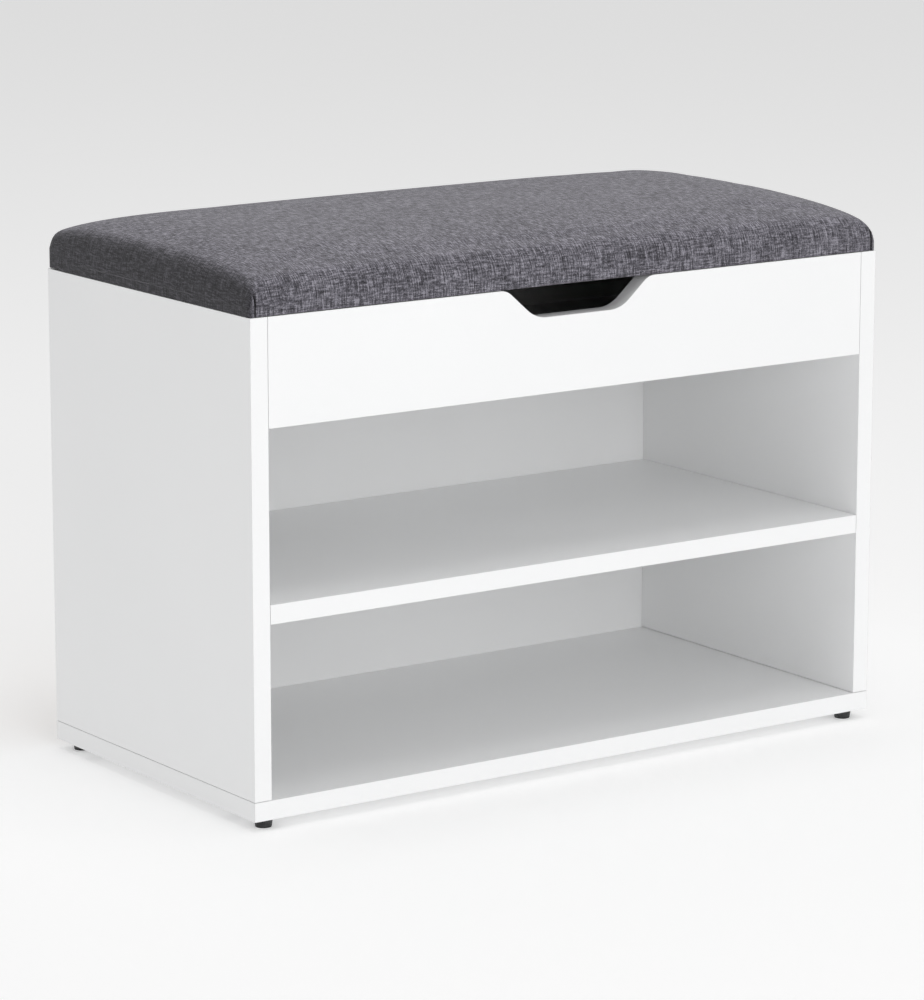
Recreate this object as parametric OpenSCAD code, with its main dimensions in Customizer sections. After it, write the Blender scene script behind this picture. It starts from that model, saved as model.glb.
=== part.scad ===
// Entryway bench: an open shoe cabinet under a padded lift-up seat.
// Millimetres, +Z up, the front faces -Y, the origin is on the floor below the middle.

/* [Cabinet] */
// Width over the side panels
width = 600; // [500:10:900]
// Depth from the front edges to the rear edges
depth = 300; // [280:5:400]
// Height from the floor to the top edges of the side panels
body_h = 392; // [360:4:460]
// Thickness of the laminated chipboard
board = 15; // [15:1:18]
// Height of the rails that close the compartment under the seat
rail_h = 84; // [70:2:110]
// Height from the base panel to the underside of the shelf
lower_bay_h = 136; // [110:2:170]
// Thickness of the hardboard back
back_t = 3; // [3:1:4]
// Depth of the grooves that hold the back
groove = 5; // [4:1:7]
// Distance from the rear edges to the front face of the back
back_inset = 11; // [8:1:14]
// Gap left at the joints between boards
seam = 0.4; // [0.2:0.1:0.6]

/* [Handle notch] */
// Half of the notch width at the top edge of the rail
notch_half_w = 74; // [60:1:100]
// Depth of the notch
notch_d = 24; // [20:1:32]
// Slope of the straight flanks
notch_slope = 41; // [35:1:60]
// Radius where the flank meets the top edge
notch_r_top = 15; // [8:1:20]
// Radius where the flank meets the flat bottom
notch_r_bottom = 28; // [15:1:32]

/* [Seat] */
// Gap between the side panels and the seat
seat_gap = 1.5; // [1.5:0.1:3]
// Height of the padded seat at its crown
seat_h = 47; // [40:1:70]
// Height of the upright band around the seat
band_h = 15; // [15:1:20]
// Thickness of the seat's board
seat_board_t = 12; // [9:1:12]
// Thickness of the cover fabric
fabric = 1; // [0.8:0.1:1.2]
// Width of the fabric turned in under the board
turn_in = 30; // [25:1:40]

/* [Feet] */
// Height of the glides
foot_h = 8; // [6:1:15]
// Diameter of a glide at the base panel
foot_top_d = 15; // [12:0.5:22]
// Diameter of a glide at the floor
foot_floor_d = 12.6; // [10:0.2:20]
// Distance from the side to a glide's centre
foot_side = 15.5; // [12:0.5:30]
// Distance from the front or the rear to a glide's centre
foot_edge = 13; // [11:0.5:30]

/* [Hinges] */
// Distance from the middle of the bench to each hinge
hinge_x = 190; // [150:5:220]
// Length of a hinge leaf
leaf_w = 50; // [40:1:70]
// Thickness of a hinge leaf
leaf_t = 1.2; // [1:0.1:1.5]
// Radius of the knuckles
knuckle_r = 2.8; // [2.6:0.1:3]
// Radius of the hinge pin
pin_r = 1.25; // [1:0.05:1.4]

/* [Hidden] */
$fn = 48;

// Colours
white_laminate = [0.93, 0.93, 0.92];
hardboard = [0.86, 0.86, 0.84];
grey_fabric = [0.21, 0.205, 0.22];
black_plastic = [0.06, 0.06, 0.065];

// Clearance around what slides into a hole, and the overlap that makes a cut clean
fit = 0.05;
cut = 1;

// Levels above the floor
base_top = foot_h + board;
shelf_z = base_top + lower_bay_h;
rail_z = body_h - rail_h;
seat_z = body_h + seat_gap;
seat_board_z = seat_z + fabric + 2 * fit;
seat_board_top = seat_board_z + seat_board_t;

// Places across the bench, and places measured back from the front edges
inner_x = width / 2 - board;
side_mid_x = width / 2 - board / 2;
back_y = depth - back_inset;
hinge_y = depth + knuckle_r + 0.5;
hinge_z = body_h + 0.15;
front_y = -(hinge_y + knuckle_r) / 2;

// Cam fittings and dowels: centre of the lock from the board's end, sizes and depths
lock_inset = 34;
lock_r = 7.5;
lock_h = 12.5;
bolt_r = 2.5;
bolt_head_r = 3.5;
bolt_thread_r = 3;
bolt_thread_l = 11;
dowel_r = 4;
dowel_l = 30;
dowel_in_side = 10;
board_cams_y = [50, 245];
board_dowels_y = [150];
rail_cam_z = body_h - 42;
rail_dowel_z = body_h - 17;
side_dowels_y = [95, 205];

// Base screws, glide nails and hinge screws
base_screw_y = [45, 255];
base_screw_l = 50;
base_screw_head = 4;
nail_r = 1;
nail_head_r = 2.8;
nail_head_t = 1.2;
nail_recess = 1.5;
nail_top = foot_h + 12;
leaf_screws = [-18, 0, 18];
leaf_screw_r = 1.5;
leaf_screw_head_r = 2.75;
cabinet_screw_l = 16;
lid_screw_l = 10.5;
leaf_screw_y = depth - board / 2;
knuckle_gap = 0.3;
lid_knuckle_half = leaf_w / 6;
leaf_front_y = depth - board + 1;

// Every x, y pair of signs for the four glides
corners = [[-1, 0], [1, 0], [-1, 1], [1, 1]];

// Moves from "back from the front edges" to the bench's own origin
module placed() {
    translate([0, front_y, 0]) children();
}

// A cylinder along X that starts at x and is l long, towards the right when l is positive
module bar_x(x, y, z, r, l) {
    translate([min(x, x + l), y, z]) rotate([0, 90, 0]) cylinder(r = r, h = abs(l));
}

// ---------- fittings ----------

// A cam lock at the origin: its open face looks down -Z and the bolt comes in from +X
module cam_lock() {
    difference() {
        cylinder(r = lock_r - fit, h = lock_h - 2 * fit);
        bar_x(-bolt_head_r, 0, board / 2, bolt_head_r + 2 * fit, lock_r * 2);
        for (a = [0, 90])
            rotate(a) translate([-4, -0.6, -cut]) cube([8, 1.2, 2 + cut]);
    }
}

// The pocket for a cam lock with the bolt's bore out to the board's end
module cam_pocket() {
    translate([0, 0, -cut]) cylinder(r = lock_r, h = lock_h + cut);
    bar_x(0, 0, board / 2, dowel_r, lock_inset + cut);
}

// A cam bolt along X, with its head at the origin and its thread beyond the board's end
module cam_bolt() {
    bar_x(-bolt_head_r + fit, 0, 0, bolt_head_r, 3);
    bar_x(-bolt_head_r + 3, 0, 0, bolt_r, lock_inset + bolt_head_r - 3);
    bar_x(lock_inset, 0, 0, bolt_thread_r, bolt_thread_l - fit);
}

// Puts a fitting drawn for a shelf's right end at every cam of a level board
module at_board_cams(z) {
    for (s = [-1, 1], y = board_cams_y)
        translate([s * (inner_x - lock_inset), y, z]) mirror([s < 0 ? 1 : 0, 0, 0]) children();
}

// The same for an upright rail whose inner face is at y, with d = 1 when that face looks back
module at_rail_cams(y, d) {
    for (s = [-1, 1])
        translate([s * (inner_x - lock_inset), y, rail_cam_z])
            mirror([s < 0 ? 1 : 0, 0, 0]) rotate([d * 90, 0, 0]) children();
}

module at_all_cams() {
    at_board_cams(shelf_z) children();
    at_board_cams(rail_z) children();
    at_rail_cams(board, 1) children();
    at_rail_cams(depth - board, -1) children();
}

// All the level dowels, or with grow = fit the holes they sit in
module level_dowels(grow) {
    for (s = [-1, 1]) {
        x = s > 0 ? inner_x - dowel_l + dowel_in_side - grow : -inner_x - dowel_in_side - grow;
        for (z = [shelf_z, rail_z], y = board_dowels_y)
            bar_x(x, y, z + board / 2, dowel_r - fit + grow, dowel_l + 2 * grow);
        for (y = [board / 2, depth - board / 2])
            bar_x(x, y, rail_dowel_z, dowel_r - fit + grow, dowel_l + 2 * grow);
    }
}

// The upright dowels between the base panel and the sides
module upright_dowels(grow) {
    for (s = [-1, 1], y = side_dowels_y)
        translate([s * side_mid_x, y, base_top - dowel_in_side - grow])
            cylinder(r = dowel_r - fit + grow, h = dowel_l + 2 * grow);
}

// One base screw, head down, or with grow = fit its hole
module base_screw(grow) {
    translate([0, 0, foot_h - grow]) cylinder(r1 = 5 + grow, r2 = 3.5 + grow, h = base_screw_head);
    translate([0, 0, foot_h + base_screw_head - grow])
        cylinder(r = 3.5 + grow, h = board - base_screw_head + grow);
    translate([0, 0, base_top - fit]) cylinder(r = 2.5 + grow, h = base_screw_l - board + grow);
}

module at_base_screws() {
    for (s = [-1, 1], y = base_screw_y)
        translate([s * side_mid_x, y, 0]) children();
}

// The groove's space that the back panel slides into
module back_space(grow) {
    translate([-inner_x - groove - grow, back_y - grow, base_top - groove - grow])
        cube([2 * (inner_x + groove + grow), back_t + 2 * grow, rail_z - base_top + 2 * (groove + grow)]);
}

// ---------- cabinet ----------

module base_panel() {
    color(white_laminate) placed() difference() {
        translate([-width / 2, 0, foot_h]) cube([width, depth, board]);
        at_base_screws() base_screw(fit);
        upright_dowels(fit);
        back_space(seam / 2);
        for (c = corners)
            at_corner(c) cylinder(r = nail_r + fit, h = nail_top + 2 * fit);
    }
}

module side_panel(s) {
    color(white_laminate) placed() difference() {
        translate([s > 0 ? inner_x : -width / 2, 0, base_top + seam]) cube([board, depth, body_h - base_top - seam]);
        at_base_screws() base_screw(fit);
        upright_dowels(fit);
        level_dowels(fit);
        back_space(seam / 2);
        at_all_cams() bar_x(lock_inset - cut, 0, board / 2, bolt_thread_r + fit, bolt_thread_l + cut);
    }
}

module shelf() {
    color(white_laminate) placed() difference() {
        translate([-inner_x + seam, 0, shelf_z]) cube([2 * (inner_x - seam), back_y - seam, board]);
        at_board_cams(shelf_z) cam_pocket();
        level_dowels(fit);
    }
}

module compartment_floor() {
    color(white_laminate) placed() difference() {
        translate([-inner_x + seam, board, rail_z]) cube([2 * (inner_x - seam), depth - 2 * board, board]);
        at_board_cams(rail_z) cam_pocket();
        level_dowels(fit);
    }
}

// Points of an arc around [cx, cz] from angle a to angle b
function arc(cx, cz, r, a, b, n = 10) =
    [for (i = [0:n]) let(t = a + (b - a) * i / n) [cx + r * cos(t), cz + r * sin(t)]];

// Left half of the notch: the top edge curves into a sloping flank and the flank into the bottom
function notch_flank() =
    let(run = (notch_d - (notch_r_top + notch_r_bottom) * (1 - cos(notch_slope))) / tan(notch_slope),
        flat = notch_half_w - (notch_r_top + notch_r_bottom) * sin(notch_slope) - run)
    concat(
        arc(-notch_half_w, -notch_r_top, notch_r_top, 90, 90 - notch_slope),
        arc(-flat, notch_r_bottom - notch_d, notch_r_bottom, 270 - notch_slope, 270));

module handle_notch() {
    flank = notch_flank();
    outline = concat(
        [[-notch_half_w, cut]], flank,
        [for (i = [len(flank) - 1:-1:0]) [-flank[i][0], flank[i][1]]],
        [[notch_half_w, cut]]);
    translate([0, board + cut, body_h]) rotate([90, 0, 0])
        linear_extrude(board + 2 * cut) polygon(outline);
}

module front_rail() {
    color(white_laminate) placed() difference() {
        translate([-inner_x + seam, 0, rail_z]) cube([2 * (inner_x - seam), board, rail_h]);
        handle_notch();
        at_rail_cams(board, 1) cam_pocket();
        level_dowels(fit);
    }
}

module rear_rail() {
    color(white_laminate) placed() difference() {
        translate([-inner_x + seam, depth - board, rail_z]) cube([2 * (inner_x - seam), board, rail_h]);
        at_rail_cams(depth - board, -1) cam_pocket();
        level_dowels(fit);
        back_space(seam / 2);
        for (s = [-1, 1]) {
            translate([s * hinge_x - leaf_w / 2 - fit, depth - board - cut, body_h - leaf_t - fit])
                cube([leaf_w + 2 * fit, board + 2 * cut, leaf_t + cut]);
            for (x = leaf_screws)
                translate([s * hinge_x + x, leaf_screw_y, body_h - cabinet_screw_l - 2 * fit])
                    cylinder(r = leaf_screw_r + fit, h = cabinet_screw_l);
        }
    }
}

module back_panel() {
    color(hardboard) placed() back_space(0);
}

// ---------- seat ----------

// Rise of a soft edge: 0 at the edge, 1 at distance a from it, fuller with a larger n
function swell(d, a, n) = pow(1 - pow(max(0, 1 - d / a), n), 1 / n);

// Height of the seat's surface above its underside at x, y from its middle
function seat_height(x, y, half) =
    band_h + (seat_h - band_h)
        * swell(max(0, half[0] - abs(x)), 105, 2.5)
        * swell(max(0, half[1] - abs(y)), half[1], 3.4);

// A closed loop around a rounded rectangle, with points along its edges as well as its corners
function loop(half, r) =
    let(signs = [[1, 1], [-1, 1], [-1, -1], [1, -1]],
        corner = [for (q = [0:3]) [for (i = [0:6]) let(t = 90 * q + 15 * i)
            [signs[q][0] * (half[0] - r) + r * cos(t), signs[q][1] * (half[1] - r) + r * sin(t)]]])
    [for (q = [0:3]) each concat(corner[q],
        [for (i = [1:7]) corner[q][6] + (corner[(q + 1) % 4][0] - corner[q][6]) * i / 8])];

// A level loop at height z
function level_loop(half, r, z) = [for (p = loop(half, r)) [p[0], p[1], z]];

// A loop that lies on the swelling surface, shrunk to a share k of the seat and lowered by drop
function domed_loop(half, k, drop) =
    [for (p = loop(half * k, 10 * k)) [p[0], p[1], seat_z + seat_height(p[0], p[1], half) - drop]];

// Shares of the loops from the edge to near the middle
dome_steps = [1, 0.9985, 0.995, 0.985, 0.965, 0.93, 0.88, 0.8, 0.68, 0.5, 0.3, 0.1];
function dome(half, drop) = [for (k = dome_steps) domed_loop(half, k, drop)];
function reversed(list) = [for (i = [len(list) - 1:-1:0]) list[i]];

// The two faces between points a, b of a loop and the n points of the next one, split along
// the same diagonal whichever way the loops run
function quad(a, b, n, down) =
    down ? [[a, a + n, b + n], [a, b + n, b]] : [[a, a + n, b], [b, a + n, b + n]];

// A closed solid through loops that have the same number of points, the first one seen from below
module loft(loops) {
    n = len(loops[0]);
    last = len(loops) - 1;
    points = [for (l = loops) each l];
    bottom = [for (i = [0:n - 1]) i];
    top = [for (i = [n - 1:-1:0]) last * n + i];
    sides = [for (j = [0:last - 1], i = [0:n - 1])
        each quad(j * n + i, j * n + (i + 1) % n, n, loops[j][i][2] > loops[j + 1][i][2])];
    polyhedron(points = points, faces = concat([bottom], sides, [top]), convexity = 6);
}

seat_half = [width / 2 - 0.5, depth / 2 - 0.5];
lining_half = seat_half - [fabric, fabric];
soft_gap = 0.2;
core_half = lining_half - [soft_gap, soft_gap];

module at_seat() {
    translate([0, front_y + depth / 2, 0]) children();
}

module seat_board() {
    color("burlywood") at_seat() difference() {
        translate([0, 0, seat_board_z]) linear_extrude(seat_board_t) polygon(loop(core_half, 10));
        for (s = [-1, 1], x = leaf_screws)
            translate([s * hinge_x + x, leaf_screw_y - depth / 2, seat_board_z - cut])
                cylinder(r = leaf_screw_r + fit, h = lid_screw_l);
    }
}

module seat_foam() {
    color("ivory") at_seat()
        loft(concat([level_loop(core_half, 10, seat_board_top)], dome(core_half, fabric + soft_gap)));
}

module seat_cover() {
    edge = [turn_in, turn_in];
    outside = concat(
        [level_loop(seat_half - edge, 5, seat_z), level_loop(seat_half - [1, 1], 9, seat_z),
            level_loop(seat_half, 10, seat_z + 1.5)],
        dome(seat_half, 0));
    inside = concat(
        [level_loop(lining_half - edge + [fabric, fabric], 5, seat_z + fabric),
            level_loop(lining_half, 9, seat_z + fabric)],
        dome(lining_half, fabric));
    color(grey_fabric) at_seat() loft(concat(reversed(inside), outside));
}

module dust_cover() {
    sheet_t = 0.5;
    inset = 24;
    color(black_plastic) at_seat() translate([0, 0, seat_z - sheet_t])
        linear_extrude(sheet_t) polygon(loop(seat_half - [inset, inset], 4));
}

// One staple with its crown along X, driven up from the dust cover
module staple() {
    wire = 0.4;
    crown = 10;
    leg = 6;
    translate([-crown / 2, -wire / 2, seat_z - 0.5 - wire]) cube([crown, wire, wire]);
    for (s = [-1, 1])
        translate([s * (crown - wire) / 2 - wire / 2, -wire / 2, seat_z - 0.5 - wire])
            cube([wire, wire, leg]);
}

module cover_staples() {
    row = seat_half - [27, 27];
    per_side = 11;
    per_end = 5;
    color("silver") at_seat() {
        for (s = [-1, 1], i = [0:per_side - 1])
            translate([row[0] * (-0.95 + 1.9 * i / (per_side - 1)), s * row[1], 0]) staple();
        for (s = [-1, 1], i = [0:per_end - 1])
            translate([s * row[0], row[1] * (-0.8 + 1.6 * i / (per_end - 1)), 0]) rotate(90) staple();
    }
}

// ---------- hinges ----------

// A countersunk screw pointing up from the origin, or with grow = fit the hole through a leaf
module leaf_screw(l, grow) {
    translate([0, 0, -grow / 2]) cylinder(r1 = leaf_screw_head_r + grow, r2 = leaf_screw_r + grow, h = leaf_t);
    translate([0, 0, leaf_t - grow / 2 - fit]) cylinder(r = leaf_screw_r + grow, h = l - leaf_t);
}

// A hinge leaf: a plate from z up, and knuckles between the pairs of x in spans
module leaf(s, z, spans, turned) {
    difference() {
        union() {
            translate([s * hinge_x - leaf_w / 2, leaf_front_y, z])
                cube([leaf_w, hinge_y - knuckle_r - 0.4 - leaf_front_y, leaf_t]);
            for (span = spans) {
                translate([s * hinge_x + span[0], leaf_front_y, z])
                    cube([span[1] - span[0], hinge_y - leaf_front_y, leaf_t]);
                bar_x(s * hinge_x + span[0], hinge_y, hinge_z, knuckle_r, span[1] - span[0]);
            }
        }
        bar_x(s * hinge_x - leaf_w / 2 - cut, hinge_y, hinge_z, pin_r + fit, leaf_w + 2 * cut);
        for (x = leaf_screws)
            translate([s * hinge_x + x, leaf_screw_y, turned ? body_h : hinge_z + 0.15])
                mirror([0, 0, turned ? 1 : 0]) leaf_screw(3, fit);
    }
}

module hinge_cabinet_leaf(s) {
    inner = lid_knuckle_half + knuckle_gap;
    color("silver") placed()
        leaf(s, body_h - leaf_t, [[-leaf_w / 2, -inner], [inner, leaf_w / 2]], true);
}

module hinge_lid_leaf(s) {
    color("silver") placed()
        leaf(s, seat_z - leaf_t, [[-lid_knuckle_half, lid_knuckle_half]], false);
}

module hinge_pin(s) {
    head_t = 0.8;
    color("gray") placed() {
        bar_x(s * hinge_x - leaf_w / 2 - fit, hinge_y, hinge_z, pin_r, leaf_w + 2 * fit);
        for (d = [-1, 1])
            bar_x(s * hinge_x + d * (leaf_w / 2 + fit), hinge_y, hinge_z, pin_r + 0.8, d * head_t);
    }
}

// A countersunk screw with the cross recess in its head
module crossed_screw(l) {
    arm = 3.2;
    slot = 0.6;
    difference() {
        leaf_screw(l, 0);
        for (a = [0, 90])
            rotate(a) translate([-arm / 2, -slot / 2, -cut]) cube([arm, slot, cut + 0.9]);
    }
}

module cabinet_hinge_screws() {
    color("silver") placed()
        for (s = [-1, 1], x = leaf_screws)
            translate([s * hinge_x + x, leaf_screw_y, body_h]) mirror([0, 0, 1]) crossed_screw(cabinet_screw_l);
}

module lid_hinge_screws() {
    color("silver") placed()
        for (s = [-1, 1], x = leaf_screws)
            translate([s * hinge_x + x, leaf_screw_y, seat_z - leaf_t]) crossed_screw(lid_screw_l);
}

// ---------- feet and hardware ----------

module at_corner(c) {
    translate([c[0] * (width / 2 - foot_side), c[1] == 0 ? foot_edge : depth - foot_edge, 0]) children();
}

module foot(c) {
    color(black_plastic) placed() at_corner(c) difference() {
        cylinder(r1 = foot_floor_d / 2, r2 = foot_top_d / 2, h = foot_h);
        translate([0, 0, -cut]) cylinder(r = nail_head_r + 0.3, h = nail_recess + cut);
        translate([0, 0, -cut]) cylinder(r = nail_r + fit, h = foot_h + 2 * cut);
    }
}

module foot_nails() {
    color("gray") placed() for (c = corners) at_corner(c) {
        translate([0, 0, nail_recess - nail_head_t]) cylinder(r = nail_head_r, h = nail_head_t - fit);
        translate([0, 0, nail_head_t - fit]) cylinder(r = nail_r, h = nail_top - nail_head_t);
    }
}

module dowels() {
    color("tan") placed() {
        level_dowels(0);
        upright_dowels(0);
    }
}

module cam_bolts() {
    color("gray") placed() at_all_cams() translate([0, 0, board / 2]) cam_bolt();
}

module cam_locks() {
    color("silver") placed() at_all_cams() cam_lock();
}

module base_screws() {
    hex_r = 2.3;
    hex_d = 3;
    color("gray") placed() at_base_screws() difference() {
        base_screw(0);
        translate([0, 0, foot_h - cut]) cylinder(r = hex_r, h = hex_d + cut, $fn = 6);
    }
}

module lid_bumpers() {
    color(black_plastic) placed() for (s = [-1, 1], y = [25, depth - 40])
        translate([s * side_mid_x, y, body_h]) cylinder(r = 5, h = seat_gap - fit);
}

base_panel();
side_panel(-1);  // left_side_panel
side_panel(1);  // right_side_panel
shelf();
compartment_floor();
front_rail();
rear_rail();
back_panel();
seat_board();
seat_foam();
seat_cover();
dust_cover();
cover_staples();
hinge_cabinet_leaf(-1);  // left_hinge_cabinet_leaf
hinge_cabinet_leaf(1);  // right_hinge_cabinet_leaf
hinge_lid_leaf(-1);  // left_hinge_lid_leaf
hinge_lid_leaf(1);  // right_hinge_lid_leaf
hinge_pin(-1);  // left_hinge_pin
hinge_pin(1);  // right_hinge_pin
cabinet_hinge_screws();
lid_hinge_screws();
foot(corners[0]);  // front_left_foot
foot(corners[1]);  // front_right_foot
foot(corners[2]);  // rear_left_foot
foot(corners[3]);  // rear_right_foot
foot_nails();
dowels();
cam_bolts();
cam_locks();
base_screws();
lid_bumpers();
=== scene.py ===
"""Entryway bench: a white shoe cabinet with two open bays under a padded seat that lifts."""

import math
import random

import bmesh
import bpy
from bpy.props import FloatProperty, FloatVectorProperty, PointerProperty
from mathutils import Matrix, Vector


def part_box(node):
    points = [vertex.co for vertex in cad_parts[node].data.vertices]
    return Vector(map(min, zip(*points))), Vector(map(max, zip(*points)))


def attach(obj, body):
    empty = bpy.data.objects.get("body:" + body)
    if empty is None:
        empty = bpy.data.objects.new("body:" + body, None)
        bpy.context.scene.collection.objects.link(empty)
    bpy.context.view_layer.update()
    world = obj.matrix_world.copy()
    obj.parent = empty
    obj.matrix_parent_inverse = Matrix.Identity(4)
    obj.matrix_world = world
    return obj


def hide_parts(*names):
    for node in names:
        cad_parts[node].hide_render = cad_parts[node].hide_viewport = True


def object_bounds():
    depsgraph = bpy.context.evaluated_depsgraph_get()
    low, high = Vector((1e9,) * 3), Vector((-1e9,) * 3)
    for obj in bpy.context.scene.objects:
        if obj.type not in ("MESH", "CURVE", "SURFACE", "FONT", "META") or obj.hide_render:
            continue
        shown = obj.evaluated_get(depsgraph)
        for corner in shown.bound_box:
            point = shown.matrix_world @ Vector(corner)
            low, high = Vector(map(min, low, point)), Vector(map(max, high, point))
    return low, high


bl_info = {
    "name": "Entryway Bench",
    "version": (1, 0, 0),
    "blender": (4, 5, 0),
    "location": "View3D > Sidebar > Bench",
    "description": "Upholsters and finishes a shoe bench with a lift-up seat",
    "category": "Object",
}

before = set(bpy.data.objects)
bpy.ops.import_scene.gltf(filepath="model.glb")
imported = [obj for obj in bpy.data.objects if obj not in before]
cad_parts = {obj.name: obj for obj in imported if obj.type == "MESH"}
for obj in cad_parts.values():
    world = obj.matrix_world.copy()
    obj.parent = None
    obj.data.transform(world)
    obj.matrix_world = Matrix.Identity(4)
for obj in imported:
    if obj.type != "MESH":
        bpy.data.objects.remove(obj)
cad_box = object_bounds()
seat_low, seat_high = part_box("seat_cover")
seat_mid = (seat_low + seat_high) / 2
seat_half = (seat_high - seat_low) / 2
YARN_PITCH = 0.00075  # from yarn to yarn in the cloth
CUTS = 59  # across each side of the cube that becomes the seat
CROWD = 1.5  # how far those cuts gather towards the edges
PROUD = 0.0006  # how far the cloth stands clear of the board
END_FULLNESS, FRONT_FULLNESS, REAR_FULLNESS = 3.1, 2.0, 3.4  # 2 is an ellipse, more is squarer
STAPLED = 0.006  # height below which the cloth can't swell
SWELL_STEPS = 20  # of the simulation
SWELL_RISE = 0.03  # over which the cloth gains its freedom to swell
HEM_HEIGHT = 0.008  # of the cloth that the hem draws down
HEM_WIDTH, HEM_FADE = 0.018, 0.01  # reach of the hem under the seat, and its fading part
HINGE_SIDE = 0.03  # width along the rear that the hem leaves alone
FOLD_TAPER = 0.004  # over which a corner fold closes at its top
SLIT_DEPTH, LIP_RISE, LIP_DROP = 0.0032, 0.0003, 0.0005  # of a corner fold
TURNED_IN = 0.034  # width of cloth that shows under a corner

SIDE_PANELS = ("left_side_panel", "right_side_panel")
LAMINATED = ("base_panel", *SIDE_PANELS, "shelf", "compartment_floor", "front_rail", "rear_rail")
HINGE_LEAVES = (
    "left_hinge_cabinet_leaf",
    "right_hinge_cabinet_leaf",
    "left_hinge_lid_leaf",
    "right_hinge_lid_leaf",
)
SMALL_STEEL = (
    "left_hinge_pin",
    "right_hinge_pin",
    "cabinet_hinge_screws",
    "lid_hinge_screws",
    "cover_staples",
    "foot_nails",
    "cam_bolts",
    "cam_locks",
    "base_screws",
)
GLIDES = ("front_left_foot", "front_right_foot", "rear_left_foot", "rear_right_foot")


def colour(name, description, default):
    """A colour a user can change."""
    return FloatVectorProperty(
        name=name, description=description, default=default, size=3, subtype="COLOR", min=0, max=1
    )


def length(name, description, default):
    """A length a user can change, in metres."""
    return FloatProperty(name=name, description=description, default=default, unit="LENGTH", min=0)


def offset(name, description, default):
    """A distance a user can change, either way."""
    return FloatProperty(name=name, description=description, default=default, unit="LENGTH")


def angle(name, description, degrees):
    """An angle a user can change, given in degrees."""
    return FloatProperty(
        name=name, description=description, default=math.radians(degrees), unit="ROTATION"
    )


def strength(name, description, default):
    """A strength a user can change."""
    return FloatProperty(name=name, description=description, default=default, min=0)


class BenchSeat(bpy.types.PropertyGroup):
    """Sizes of the upholstered seat"""

    crown: length("Crown", "Height of the seat's crown over its underside", 0.0437)
    band_front: length("Front band", "Height of the padding along the front edge", 0.0195)
    band_rear: length("Rear band", "Height of the padding along the rear edge", 0.0222)
    edge_front: length("Front edge", "Radius of the padding's front edge", 0.013)
    edge_rear: length("Rear edge", "Radius of the padding's rear edge", 0.0068)
    end_fall: length("End fall", "Distance over which the padding falls to the ends", 0.141)
    corner: length("Corner", "Radius of the upright corners", 0.004)
    swell_cap: length("Swell cap", "Furthest that padding may push the cloth", 0.0016)
    pressure: strength("Pressure", "Push of the padding", 3.0)
    fold_height: length("Fold height", "Height of the folds tucked at the corners", 0.0175)
    fold_inset: length("Fold inset", "Distance from the corner to its fold", 0.0042)
    fold_gap: length("Fold gap", "Width of the opening along a fold", 0.0014)
    mitre_gap: length("Mitre gap", "Width of the folds under the seat's corners", 0.0014)
    mitre_depth: length("Mitre depth", "Depth of the folds under the seat's corners", 0.0008)
    hem_drop: length("Hem drop", "How far the cloth rolls below the board at its edges", 0.0009)


class BenchFinish(bpy.types.PropertyGroup):
    """Colours of the materials"""

    laminate: colour("Laminate", "White melamine", (0.95, 0.954, 0.957))
    hardboard: colour("Hardboard", "Bare rear face of the back", (0.31, 0.2, 0.11))
    yarn_dark: colour("Dark yarn", "Darkest yarn in the cloth", (0.035, 0.0335, 0.039))
    yarn_mid: colour("Middle yarn", "Main yarn in the cloth", (0.124, 0.119, 0.14))
    yarn_light: colour("Light yarn", "Lightest yarn in the cloth", (0.355, 0.342, 0.39))
    lining: colour("Lining", "Non-woven lining under the seat", (0.012, 0.012, 0.013))
    zinc: colour("Zinc", "Plated steel", (0.6, 0.6, 0.59))
    glide: colour("Glide", "Black plastic", (0.012, 0.012, 0.013))
    bumper: colour("Bumper", "Soft pads", (0.03, 0.03, 0.032))
    beech: colour("Beech", "Dowels", (0.56, 0.36, 0.19))
    chipboard: colour("Chipboard", "Bare board under the padding", (0.5, 0.33, 0.18))


class BenchStage(bpy.types.PropertyGroup):
    """Camera, light and floor"""

    azimuth: angle("Azimuth", "Angle round the bench", -34.93)
    elevation: angle("Elevation", "Angle above the floor", 11.75)
    distance: length("Distance", "Camera to the aimed point", 3.4423)
    lens: FloatProperty(name="Lens", description="Focal length", default=152.86, unit="CAMERA")
    aim_side: offset("Aim to the side", "Aimed point right of the middle", -0.00275)
    aim_up: offset("Aim up", "Aimed point above the middle", -0.02536)
    floor: colour("Floor", "Pale floor", (0.97, 0.97, 0.97))
    glow: strength("Glow", "Light given off by the floor", 0.2)
    ambient: strength("Ambient", "Strength of the even light", 0.52)
    key: strength("Key", "Power of the large front light", 74.0)
    top: strength("Top", "Power of the overhead light", 38.0)


# ---------- helpers ----------


def deselect():
    """Nothing selected and nothing active."""
    if bpy.context.object and bpy.context.object.mode != "OBJECT":
        bpy.ops.object.mode_set(mode="OBJECT")
    bpy.ops.object.select_all(action="DESELECT")


def activate(obj):
    """Only obj selected, and active."""
    deselect()
    bpy.context.view_layer.objects.active = obj
    obj.select_set(True)


def settle(obj):
    """The object's place goes into its mesh."""
    activate(obj)
    bpy.ops.object.transform_apply(location=True, rotation=True, scale=True)


def apply_modifiers(obj):
    """Every modifier becomes part of the mesh."""
    activate(obj)
    for modifier in list(obj.modifiers):
        bpy.ops.object.modifier_apply(modifier=modifier.name)


def face_outwards(obj):
    """Doubles merged and normals turned out."""
    activate(obj)
    bpy.ops.object.mode_set(mode="EDIT")
    bpy.ops.mesh.select_all(action="SELECT")
    bpy.ops.mesh.remove_doubles(threshold=1e-6)
    bpy.ops.mesh.normals_make_consistent(inside=False)
    bpy.ops.object.mode_set(mode="OBJECT")


def dress(obj, material):
    """The object has this material only."""
    obj.data.materials.clear()
    obj.data.materials.append(material)


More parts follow.
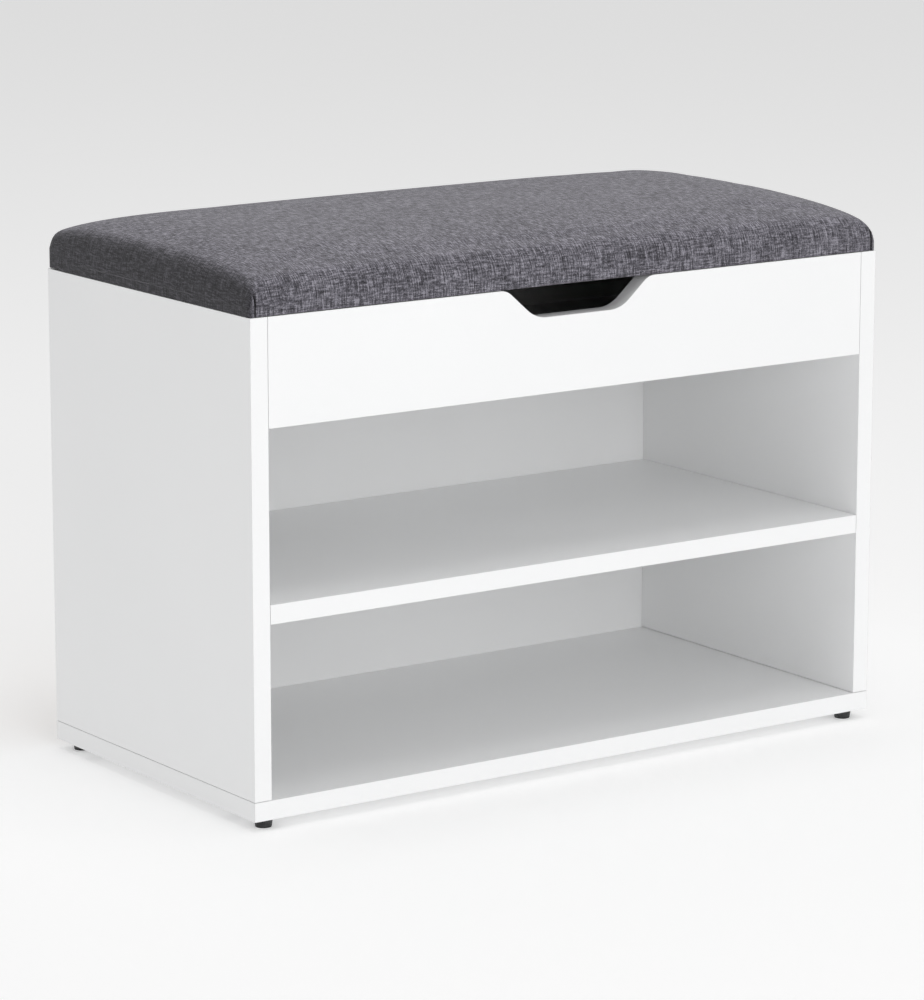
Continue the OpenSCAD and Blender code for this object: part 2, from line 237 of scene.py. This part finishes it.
class Nodes:
    """A material under construction."""

    def __init__(self, name):
        self.material = bpy.data.materials.new(name)
        self.material.use_nodes = True
        self.tree = self.material.node_tree
        self.shader = self.tree.nodes["Principled BSDF"]

    def new(self, kind, **settings):
        """A node of this kind; a setting names a property, or a socket by its label."""
        node = self.tree.nodes.new(kind)
        for key, value in settings.items():
            label = key.replace("_", " ")
            socket = next((s for s in node.inputs if s.name.lower() == label), None)
            if socket is not None:
                self.feed(socket, value)
            else:
                setattr(node, key, value)
        return node

    def feed(self, socket, value):
        """A socket takes a number, a colour or another node's output."""
        if isinstance(value, bpy.types.NodeSocket):
            self.tree.links.new(value, socket)
        elif hasattr(value, "__len__") and len(value) == 3 and len(socket.default_value) == 4:
            socket.default_value = (*value, 1)
        else:
            socket.default_value = value

    def place(self, scale=(1, 1, 1), uv=None):
        """Object coordinates, or a UV map's, in metres times scale."""
        if uv:
            source = self.new("ShaderNodeUVMap", uv_map=uv).outputs["UV"]
        else:
            source = self.new("ShaderNodeTexCoord").outputs["Object"]
        return self.new("ShaderNodeMapping", vector=source, scale=scale).outputs["Vector"]

    def noise(self, vector, scale=1.0, detail=2.0, roughness=0.5, distortion=0.0):
        """A noise's value."""
        node = self.new("ShaderNodeTexNoise", vector=vector, scale=scale, detail=detail)
        node.inputs["Roughness"].default_value = roughness
        node.inputs["Distortion"].default_value = distortion
        return node.outputs["Fac"]

    def math(self, operation, a, b=0.0, c=0.0):
        """A sum, product or other function of up to three values."""
        node = self.tree.nodes.new("ShaderNodeMath")
        node.operation = operation
        for socket, value in zip(node.inputs, (a, b, c)):
            self.feed(socket, value)
        return node.outputs["Value"]

    def span(self, value, low, high, to_low=0.0, to_high=1.0):
        """A value's span stretched to another."""
        node = self.tree.nodes.new("ShaderNodeMapRange")
        node.clamp = True
        for socket, number in zip(node.inputs, (value, low, high, to_low, to_high)):
            self.feed(socket, number)
        return node.outputs["Result"]

    def blend(self, share, a, b, kind="MIX"):
        """Two colours blended."""
        node = self.tree.nodes.new("ShaderNodeMix")
        node.data_type = "RGBA"
        node.blend_type = kind
        self.feed(node.inputs[0], share)
        self.feed(node.inputs[6], a)
        self.feed(node.inputs[7], b)
        return node.outputs[2]

    def ramp(self, value, *stops):
        """A colour ramp through (position, colour) stops."""
        node = self.new("ShaderNodeValToRGB")
        self.feed(node.inputs["Fac"], value)
        elements = node.color_ramp.elements
        for index, (position, shade) in enumerate(stops):
            element = elements[index] if index < 2 else elements.new(position)
            element.position = position
            element.color = (*shade, 1)
        return node.outputs["Color"]

    def round_edges(self, radius):
        """A normal that rounds sharp edges, so that light catches them."""
        return self.new("ShaderNodeBevel", samples=4, radius=radius).outputs["Normal"]

    def bump(self, height, distance, strength=1.0, under=None):
        """A bump from a height between 0 and 1."""
        node = self.new("ShaderNodeBump", height=height, distance=distance, strength=strength)
        if under is not None:
            self.feed(node.inputs["Normal"], under)
        return node.outputs["Normal"]

    def finish(self, base, roughness, normal=None, **sockets):
        """The shader's own sockets."""
        self.feed(self.shader.inputs["Base Color"], base)
        self.feed(self.shader.inputs["Roughness"], roughness)
        if normal is not None:
            self.feed(self.shader.inputs["Normal"], normal)
        for key, value in sockets.items():
            self.shader.inputs[key.replace("_", " ")].default_value = value
        return self.material


# ---------- materials ----------


def shaded(base, factor):
    """A colour made darker or lighter."""
    return tuple(channel * factor for channel in base)


def laminate(finish):
    """White melamine with a faint pearl texture and eased edges."""
    n = Nodes("white laminate")
    cloud = n.noise(n.place(), 5.0, 3.0)
    grain = n.noise(n.place(), 1500.0, 2.0, 0.6)
    pearl = n.noise(n.place(), 420.0, 1.0)
    shade = n.span(n.math("MULTIPLY_ADD", cloud, 0.6, n.math("MULTIPLY", grain, 0.4)), 0.3, 0.7)
    white = n.blend(shade, shaded(finish.laminate, 0.97), finish.laminate)
    eased = n.bump(grain, 0.00003, 0.6, under=n.round_edges(0.0005))
    normal = n.bump(pearl, 0.00006, 0.5, under=eased)
    rough = n.span(pearl, 0.3, 0.7, 0.38, 0.5)
    return n.finish(white, rough, normal, Specular_IOR_Level=0.4)


def painted_hardboard(finish):
    """Hardboard: white lacquer on the face, bare pressed fibre behind."""
    n = Nodes("hardboard back")
    facing = n.new("ShaderNodeSeparateXYZ", vector=n.new("ShaderNodeTexCoord").outputs["Normal"])
    bare = n.math("GREATER_THAN", facing.outputs["Y"], 0.5)
    fibre = n.noise(n.place((260, 260, 900)), 1.0, 5.0, 0.65, 0.6)
    brown = n.blend(n.span(fibre, 0.3, 0.7), shaded(finish.hardboard, 0.7), finish.hardboard)
    cloud = n.span(n.noise(n.place(), 6.0, 2.0), 0.3, 0.7)
    white = n.blend(cloud, shaded(finish.laminate, 0.94), shaded(finish.laminate, 0.97))
    normal = n.bump(fibre, 0.0001, 0.35)
    return n.finish(n.blend(bare, white, brown), n.span(bare, 0, 1, 0.5, 0.85), normal)


def woven_cloth(finish):
    """Melange cloth: slubby light and dark yarns crossing in a plain weave, along its own map, with
    painted shade on faces turned to the ends and a painted highlight on faces turned up.
    """
    n = Nodes("grey cloth")
    warp = n.noise(n.place((900, 110, 1), "weave"), 1.0, 2.0, 0.6)
    weft = n.noise(n.place((110, 900, 1), "weave"), 1.0, 2.0, 0.6)
    slub = n.noise(n.place((380, 55, 1), "weave"), 1.0, 2.0, 0.6)
    slub_across = n.noise(n.place((55, 380, 1), "weave"), 1.0, 2.0, 0.6)
    flat = n.place(uv="weave")
    speck = n.noise(flat, 1100.0, 2.0, 0.7)
    drift = n.noise(flat, 22.0, 3.0)
    crossing = n.math("ADD", n.math("MULTIPLY", warp, 0.32), n.math("MULTIPLY", weft, 0.26))
    slubs = n.math("ADD", n.math("MULTIPLY", slub, 0.07), n.math("MULTIPLY", slub_across, 0.06))
    mixed = n.math("ADD", n.math("ADD", crossing, slubs), n.math("MULTIPLY", speck, 0.29))
    drifted = n.math("MULTIPLY_ADD", n.math("SUBTRACT", drift, 0.5), 0.05, mixed)
    yarn = n.ramp(
        drifted, (0.42, finish.yarn_dark), (0.5, finish.yarn_mid), (0.58, finish.yarn_light)
    )
    # Painted light and shade: by the object-space normal, the yarn colour is darkened on faces turned
    # towards the ends and lightened on faces turned up.
    painted_light_normal = n.new("ShaderNodeSeparateXYZ", vector=n.new("ShaderNodeTexCoord").outputs["Normal"])
    painted_end_shade = n.span(n.math("ABSOLUTE", painted_light_normal.outputs["X"]), 0.25, 0.95, 1.0, 0.29)
    painted_top_highlight = n.span(painted_light_normal.outputs["Z"], 0.5, 1.0, 0.9, 1.26)
    painted_light_share = n.math("MULTIPLY", painted_end_shade, painted_top_highlight)
    painted_light_tint = n.new("ShaderNodeCombineXYZ", x=painted_light_share, y=painted_light_share, z=painted_light_share).outputs["Vector"]
    threads = n.new("ShaderNodeSeparateXYZ", vector=flat)
    over = n.math("SINE", n.math("MULTIPLY", threads.outputs["X"], math.pi / YARN_PITCH))
    under = n.math("SINE", n.math("MULTIPLY", threads.outputs["Y"], math.pi / YARN_PITCH))
    weave = n.span(n.math("MULTIPLY", over, under), -1, 1)
    relief = n.bump(weave, 0.00016, 0.7, under=n.bump(mixed, 0.0006, 0.8))
    # The base colour is multiplied by the painted light and shade.
    return n.finish(
        n.blend(1.0, yarn, painted_light_tint, "MULTIPLY"),
        0.92,
        relief,
        Sheen_Weight=0.25,
        Sheen_Roughness=0.45,
        Specular_IOR_Level=0.15,
    )


def spunbond(finish):
    """Black non-woven lining with its pattern of pressed dots."""
    n = Nodes("black lining")
    dots = n.new("ShaderNodeTexVoronoi", vector=n.place((1, 1, 0)), scale=520.0, randomness=0.15)
    dots.feature = "F1"
    pressed = n.span(dots.outputs["Distance"], 0.15, 0.45)
    fibre = n.noise(n.place((900, 900, 900)), 1.0, 4.0, 0.7, 1.5)
    shade = n.blend(n.math("MULTIPLY", pressed, fibre), finish.lining, shaded(finish.lining, 3.5))
    relief = n.bump(pressed, 0.00012, 0.8, under=n.bump(fibre, 0.00008, 0.6))
    return n.finish(shade, 0.9, relief, Sheen_Weight=0.2)


def zinc_steel(finish):
    """Zinc plated steel with a fine rolled grain and a little blue and yellow cast."""
    n = Nodes("zinc plated steel")
    rolled = n.noise(n.place((90, 1400, 1400)), 1.0, 3.0, 0.6)
    stain = n.noise(n.place(), 60.0, 3.0)
    cool = (finish.zinc[0] * 0.86, finish.zinc[1] * 0.9, finish.zinc[2] * 0.97)
    shade = n.blend(n.span(stain, 0.35, 0.65), cool, finish.zinc)
    worn = n.math("MULTIPLY_ADD", rolled, 0.6, n.math("MULTIPLY", stain, 0.4))
    normal = n.bump(rolled, 0.00003, 0.6, under=n.round_edges(0.00025))
    return n.finish(shade, n.span(worn, 0.3, 0.7, 0.24, 0.46), normal, Metallic=1.0)


def moulded_plastic(name, base, roughness):
    """Moulded black plastic or rubber with a spark-eroded grain."""
    n = Nodes(name)
    grain = n.noise(n.place(), 1800.0, 3.0, 0.6)
    scuff = n.noise(n.place((500, 500, 120)), 1.0, 4.0)
    lighter = tuple(channel * 2.2 + 0.01 for channel in base)
    shade = n.blend(n.span(scuff, 0.45, 0.75), base, lighter)
    normal = n.bump(grain, 0.00004, 0.7, under=n.round_edges(0.0005))
    return n.finish(shade, n.span(scuff, 0.3, 0.7, roughness, roughness + 0.15), normal)


def beech_wood(finish):
    """Turned beech with straight grain and short flecks."""
    n = Nodes("beech")
    grain = n.noise(n.place((40, 700, 700)), 1.0, 4.0, 0.6, 0.4)
    fleck = n.noise(n.place((200, 1600, 1600)), 1.0, 2.0)
    dark = shaded(finish.beech, 0.72)
    shade = n.blend(n.span(grain, 0.35, 0.65), dark, finish.beech)
    shade = n.blend(n.span(fleck, 0.6, 0.75, 0.0, 0.5), shade, dark)
    return n.finish(shade, 0.6, n.bump(grain, 0.00006, 0.5))


def bare_chipboard(finish):
    """Chipboard: pressed flakes in several browns."""
    n = Nodes("bare chipboard")
    flakes = n.new("ShaderNodeTexVoronoi", vector=n.place((300, 180, 500)), scale=1.0)
    tint = n.new("ShaderNodeSeparateColor", color=flakes.outputs["Color"]).outputs["Red"]
    dust = n.noise(n.place(), 900.0, 3.0)
    shade = n.blend(tint, shaded(finish.chipboard, 0.55), finish.chipboard)
    return n.finish(shade, 0.85, n.bump(n.math("MULTIPLY", tint, dust), 0.0002, 0.6))


def pale_floor(stage):
    """A plain matt floor."""
    n = Nodes("pale floor")
    cloud = n.noise(n.place(), 0.8, 2.0)
    return n.finish(
        n.blend(cloud, shaded(stage.floor, 0.99), stage.floor),
        0.9,
        Specular_IOR_Level=0.1,
        Emission_Color=(1, 1, 1, 1),
        Emission_Strength=stage.glow,
    )


# ---------- shapes ----------


def swell(distance, reach, power):
    """Rise of soft padding: 0 at its edge and 1 at reach from it."""
    share = max(0.0, 1.0 - distance / reach)
    return (1.0 - share**power) ** (1.0 / power)


def edge_shape(y, seat):
    """Height and radius of the padding's edge, going from the front to the rear."""
    share = (y / seat_half.y + 1) / 2
    band = seat.band_front + (seat.band_rear - seat.band_front) * share
    return band, seat.edge_front + (seat.edge_rear - seat.edge_front) * share


def fullness(x, y, seat):
    """How far the padding has risen towards its crown, along and across the seat."""
    along = swell(seat_half.x - abs(x), seat.end_fall, END_FULLNESS)
    power = FRONT_FULLNESS if y < 0 else REAR_FULLNESS
    return along, swell(seat_half.y - abs(y), seat_half.y, power)


def seat_height(x, y, seat):
    """Height of the padding over the seat's underside, at x, y from its middle."""
    band, radius = edge_shape(y, seat)
    along, across = fullness(x, y, seat)
    inwards = min(seat_half.x - abs(x), seat_half.y - abs(y))
    rounded = radius * (1 - math.sqrt(1 - max(0.0, 1 - inwards / radius) ** 2))
    return band + (seat.crown - band) * along * across - rounded


def crowd(t):
    """A place from -1 to 1 drawn towards the nearer end."""
    return math.copysign(1.0 - (1.0 - abs(t)) ** CROWD, t)


def round_corner(x, y, radius):
    """A place in a square corner moved into a round one."""
    dx = (abs(x) - (seat_half.x - radius)) / radius
    dy = (abs(y) - (seat_half.y - radius)) / radius
    if dx <= 0 or dy <= 0:
        return x, y
    share = max(dx, dy) / math.hypot(dx, dy)
    return (
        math.copysign(seat_half.x - radius + dx * share * radius, x),
        math.copysign(seat_half.y - radius + dy * share * radius, y),
    )


def cloth_place(x, y, drop, facing, seat):
    """Where the cloth at x, y lies on the flat cloth; drop is how far it hangs down a side."""
    along, across = fullness(x, y, seat)
    rise = seat.crown - seat.band_front
    u = abs(x) + rise * (1 - along) + (drop if facing == 0 else 0)
    v = abs(y) + rise * (1 - across) + (drop if facing == 1 else 0)
    return math.copysign(u, x), math.copysign(v, y)


def domed_block(seat):
    """A crowned block the size of the seat, with the cloth's own flat coordinates."""
    bpy.ops.mesh.primitive_cube_add(size=2.0)
    block = bpy.context.object
    bpy.ops.object.mode_set(mode="EDIT")
    bpy.ops.mesh.subdivide(number_cuts=CUTS)
    bpy.ops.object.mode_set(mode="OBJECT")
    places = []
    for vertex in block.data.vertices:
        x = seat_half.x * crowd(vertex.co.x)
        y = seat_half.y * crowd(vertex.co.y)
        top = seat_height(x, y, seat)
        height = top * (vertex.co.z + 1) / 2
        places.append((x, y, top - height))
        x, y = round_corner(x, y, seat.corner)
        x *= 1 + PROUD / seat_half.x
        y *= 1 + PROUD / seat_half.y
        vertex.co = (seat_mid.x + x, seat_mid.y + y, seat_low.z + height)
    weave = block.data.uv_layers.new(name="weave")
    for face in block.data.polygons:
        corners = [places[index] for index in face.vertices]
        spans = [max(c[axis] for c in corners) - min(c[axis] for c in corners) for axis in (0, 1)]
        facing = spans.index(min(spans)) if min(spans) < 1e-9 else 2
        for loop, (x, y, drop) in zip(face.loop_indices, corners):
            weave.data[loop].uv = cloth_place(x, y, drop, facing, seat)
    return block


def inflate(obj, seat):
    """The padding pushes the cloth out, held where it is stapled, and no further than the cap."""
    before = [(v.co.copy(), v.normal.copy()) for v in obj.data.vertices]
    held = obj.vertex_groups.new(name="stapled")
    for vertex in obj.data.vertices:
        if vertex.co.z - seat_low.z < STAPLED:
            held.add([vertex.index], 1.0, "REPLACE")
    activate(obj)
    cloth = obj.modifiers.new("Cloth", "CLOTH")
    cloth.settings.quality = 6
    cloth.settings.mass = 0.3
    cloth.settings.use_pressure = True
    cloth.settings.uniform_pressure_force = seat.pressure
    cloth.settings.vertex_group_mass = held.name
    cloth.settings.effector_weights.gravity = 0.0
    cloth.settings.tension_stiffness = 12
    cloth.settings.shear_stiffness = 6
    cloth.settings.bending_stiffness = 0.4
    cloth.point_cache.frame_start = 1
    cloth.point_cache.frame_end = SWELL_STEPS
    for step in range(1, SWELL_STEPS + 1):
        bpy.context.scene.frame_set(step)
    bpy.ops.object.modifier_apply(modifier=cloth.name)
    bpy.context.scene.frame_set(1)
    for vertex, (start, outwards) in zip(obj.data.vertices, before):
        move = vertex.co - start
        move -= outwards * min(0.0, move.dot(outwards))
        cap = seat.swell_cap * min(1.0, 0.25 + (start.z - seat_low.z) / SWELL_RISE)
        vertex.co = start + move.normalized() * min(move.length, cap)
    obj.vertex_groups.clear()


def hang_hem(obj, seat):
    """The cloth rolls a little below the board along the front and the ends."""
    for vertex in obj.data.vertices:
        x, y = vertex.co.x - seat_mid.x, vertex.co.y - seat_mid.y
        edge = min(seat_half.x - abs(x), seat_half.y + y)
        edge += max(0.0, y - seat_half.y + HINGE_SIDE)
        low = max(0.0, 1 - (vertex.co.z - seat_low.z) / HEM_HEIGHT)
        vertex.co.z -= seat.hem_drop * low * max(0.0, min(1.0, (HEM_WIDTH - edge) / HEM_FADE))


def cut_lines(obj, inside, offsets, place, across):
    """New edges over the faces whose middles are inside, each an offset from place."""
    for offset in offsets:
        mesh = bmesh.new()
        mesh.from_mesh(obj.data)
        for face in mesh.faces:
            face.select_set(inside(face.calc_center_median()))
        mesh.to_mesh(obj.data)
        mesh.free()
        activate(obj)
        bpy.ops.object.mode_set(mode="EDIT")
        bpy.ops.mesh.bisect(plane_co=place + across * offset, plane_no=across)
        bpy.ops.object.mode_set(mode="OBJECT")


def open_fold(obj, side, sign, seat):
    """The tuck beside an upright corner: a narrow slit up the band, with its lip turned out."""
    line = seat_mid.x + sign * (seat_half.x - seat.fold_inset)

    def on_band(middle):
        near_corner = sign * (middle.x - seat_mid.x) > seat_half.x - 0.02
        on_side = side * (middle.y - seat_mid.y) > seat_half.y - 0.008
        return near_corner and on_side and middle.z < seat_low.z + seat.fold_height + 0.006

    offsets = [seat.fold_gap * step for step in (-1.6, -0.55, -0.3, 0.0, 0.3, 0.55, 1.6)]
    cut_lines(obj, on_band, offsets, Vector((line, seat_mid.y, seat_low.z)), Vector((1, 0, 0)))
    for vertex in obj.data.vertices:
        off = sign * (vertex.co.x - line)
        over = vertex.co.z - seat_low.z
        if side * (vertex.co.y - seat_mid.y) < seat_half.y - 0.006 or over > seat.fold_height:
            continue
        taper = min(1.0, (seat.fold_height - over) / FOLD_TAPER)
        gaps = off / seat.fold_gap
        slit = max(0.0, 1.0 - abs(gaps) / 0.6)
        lip = max(0.0, 1.0 - abs(gaps - 1.2) / 1.8) if off > 0 else 0.0
        vertex.co.y += side * taper * (LIP_RISE * lip - SLIT_DEPTH * slit)
        if off > 0 and over < STAPLED:
            vertex.co.z -= LIP_DROP * taper * (1 - over / STAPLED)


def mitre(obj, side, sign, seat):
    """The cloth folded over itself at a corner of the underside: a slanting groove to the lining."""
    corner = seat_mid + Vector((sign * seat_half.x, side * seat_half.y, -seat_half.z))
    across = Vector((sign, -side, 0)).normalized()

    def under_corner(middle):
        away = middle - corner
        return away.z < 0.0006 and max(abs(away.x), abs(away.y)) < TURNED_IN

    offsets = [seat.mitre_gap * step for step in (-1.5, -0.6, 0.0, 0.6, 1.5)]
    cut_lines(obj, under_corner, offsets, corner, across)
    for vertex in obj.data.vertices:
        away = vertex.co - corner
        if not under_corner(vertex.co) or max(abs(away.x), abs(away.y)) < 0.003:
            continue
        groove = max(0.0, 1.0 - abs(away.dot(across)) / (0.7 * seat.mitre_gap))
        vertex.co.z += seat.mitre_depth * groove


# ---------- operators ----------


class BENCH_OT_stage(bpy.types.Operator):
    """Make the floor, the lights and the camera"""

    bl_idname = "bench.stage"
    bl_label = "Stage"

    def execute(self, context):
        stage = context.scene.bench_stage
        deselect()
        self.floor(stage)
        self.lights(context, stage)
        self.camera(context, stage)
        context.scene.view_settings.view_transform = "Standard"
        return {"FINISHED"}

    def floor(self, stage):
        bpy.ops.mesh.primitive_plane_add(size=80, location=(0, 0, cad_box[0].z))
        floor = bpy.context.object
        floor.name = "floor"
        dress(floor, pale_floor(stage))

    def lights(self, context, stage):
        world = context.scene.world or bpy.data.worlds.new("Studio")
        context.scene.world = world
        world.use_nodes = True
        background = world.node_tree.nodes["Background"]
        background.inputs["Color"].default_value = (1, 1, 1, 1)
        background.inputs["Strength"].default_value = stage.ambient
        middle = (cad_box[0] + cad_box[1]) / 2
        for name, power, place in (
            ("front light", stage.key, Vector((-0.8, -4.5, 0.55))),
            ("top light", stage.top, Vector((0.1, -0.4, 4.0))),
        ):
            bpy.ops.object.light_add(type="AREA", location=middle + place)
            light = bpy.context.object
            light.name = name
            light.data.energy = power
            light.data.size = 3.0
            light.rotation_euler = (-place).to_track_quat("-Z", "Y").to_euler()

    def camera(self, context, stage):
        azimuth, elevation = stage.azimuth, stage.elevation
        back = Vector((
            math.sin(azimuth) * math.cos(elevation),
            -math.cos(azimuth) * math.cos(elevation),
            math.sin(elevation),
        ))
        right = Vector((math.cos(azimuth), math.sin(azimuth), 0))
        up = back.cross(right)
        aim = (cad_box[0] + cad_box[1]) / 2 + right * stage.aim_side + up * stage.aim_up
        bpy.ops.object.camera_add(location=aim + back * stage.distance)
        camera = bpy.context.object
        camera.rotation_euler = (-back).to_track_quat("-Z", "Y").to_euler()
        camera.data.lens = stage.lens
        camera.data.sensor_width = 36
        camera.data.clip_end = 200
        context.scene.camera = camera


class BENCH_OT_seat(bpy.types.Operator):
    """Upholster the seat in grey cloth over its padding"""

    bl_idname = "bench.seat"
    bl_label = "Seat"

    def execute(self, context):
        seat = context.scene.bench_seat
        deselect()
        cushion = domed_block(seat)
        cushion.name = "seat_cushion"
        inflate(cushion, seat)
        hang_hem(cushion, seat)
        cushion.modifiers.new("Subdivision", "SUBSURF").levels = 1
        apply_modifiers(cushion)
        for side in (-1, 1):
            for sign in (-1, 1):
                open_fold(cushion, side, sign, seat)
                mitre(cushion, side, sign, seat)
        face_outwards(cushion)
        activate(cushion)
        bpy.ops.object.shade_smooth_by_angle(angle=math.radians(50))
        dress(cushion, woven_cloth(context.scene.bench_finish))
        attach(cushion, "seat")
        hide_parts("seat_cover", "seat_foam")
        return {"FINISHED"}


class BENCH_OT_lining(bpy.types.Operator):
    """Staple the black lining under the seat"""

    bl_idname = "bench.lining"
    bl_label = "Lining"

    def execute(self, context):
        seat = context.scene.bench_seat
        low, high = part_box("dust_cover")
        size, middle = high - low, (low + high) / 2
        deselect()
        bpy.ops.mesh.primitive_grid_add(
            x_subdivisions=110, y_subdivisions=50, size=1, location=(middle.x, middle.y, high.z - 0.0002)
        )
        lining = bpy.context.object
        lining.name = "seat_lining"
        lining.scale = (size.x, size.y, 1)
        settle(lining)
        rng = random.Random(7)
        waves = [(rng.uniform(20, 60), rng.uniform(0, 6.3), rng.uniform(-1, 1)) for _ in range(6)]
        for vertex in lining.data.vertices:
            x, y = vertex.co.x - middle.x, vertex.co.y - middle.y
            edge = min(size.x / 2 - abs(x), size.y / 2 - abs(y))
            ripple = sum(math.sin(k * (x + slant * y) + phase) for k, phase, slant in waves) / 6
            vertex.co.z -= 0.00025 * (0.5 + 0.5 * ripple) * min(1.0, edge / 0.02)
        thick = lining.modifiers.new("Solidify", "SOLIDIFY")
        thick.thickness = 0.0003
        thick.offset = 0
        apply_modifiers(lining)
        face_outwards(lining)
        dress(lining, spunbond(context.scene.bench_finish))
        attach(lining, "seat")
        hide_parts("dust_cover")
        return {"FINISHED"}


class BENCH_OT_cabinet(bpy.types.Operator):
    """Finish the laminated panels, the back and the seat's board"""

    bl_idname = "bench.cabinet"
    bl_label = "Cabinet"

    def execute(self, context):
        finish = context.scene.bench_finish
        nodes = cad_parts
        white = laminate(finish)
        for name in LAMINATED:
            dress(nodes[name], white)
        dress(nodes["back_panel"], painted_hardboard(finish))
        dress(nodes["seat_board"], bare_chipboard(finish))
        return {"FINISHED"}


class BENCH_OT_hardware(bpy.types.Operator):
    """Finish the hinges, screws, fittings, glides and bumpers"""

    bl_idname = "bench.hardware"
    bl_label = "Hardware"

    def execute(self, context):
        finish = context.scene.bench_finish
        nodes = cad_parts
        steel = zinc_steel(finish)
        for name in HINGE_LEAVES:
            dress(nodes[name], steel)
        for name in SMALL_STEEL:
            dress(nodes[name], steel)
        glide = moulded_plastic("black glide", finish.glide, 0.42)
        for name in GLIDES:
            dress(nodes[name], glide)
        dress(nodes["lid_bumpers"], moulded_plastic("bumper rubber", finish.bumper, 0.6))
        dress(nodes["dowels"], beech_wood(finish))
        return {"FINISHED"}


STEPS = (BENCH_OT_stage, BENCH_OT_cabinet, BENCH_OT_hardware, BENCH_OT_lining, BENCH_OT_seat)


class BENCH_PT_panel(bpy.types.Panel):
    """The bench's sizes, colours and steps"""

    bl_idname = "BENCH_PT_panel"
    bl_label = "Entryway Bench"
    bl_space_type = "VIEW_3D"
    bl_region_type = "UI"
    bl_category = "Bench"

    def draw(self, context):
        column = self.layout.column()
        for step in STEPS:
            column.operator(step.bl_idname)
        for group in (context.scene.bench_seat, context.scene.bench_finish, context.scene.bench_stage):
            box = self.layout.box()
            for name in group.__annotations__:
                box.prop(group, name)


GROUPS = {"bench_seat": BenchSeat, "bench_finish": BenchFinish, "bench_stage": BenchStage}


def register():
    for group in GROUPS.values():
        bpy.utils.register_class(group)
    for name, group in GROUPS.items():
        setattr(bpy.types.Scene, name, PointerProperty(type=group))
    for step in STEPS:
        bpy.utils.register_class(step)
    bpy.utils.register_class(BENCH_PT_panel)


def unregister():
    bpy.utils.unregister_class(BENCH_PT_panel)
    for step in reversed(STEPS):
        bpy.utils.unregister_class(step)
    for name in GROUPS:
        delattr(bpy.types.Scene, name)
    for group in reversed(GROUPS.values()):
        bpy.utils.unregister_class(group)


def main():
    register()
    for step in STEPS:
        prefix, name = step.bl_idname.split(".")
        getattr(getattr(bpy.ops, prefix), name)()


if __name__ == "__main__":
    main()
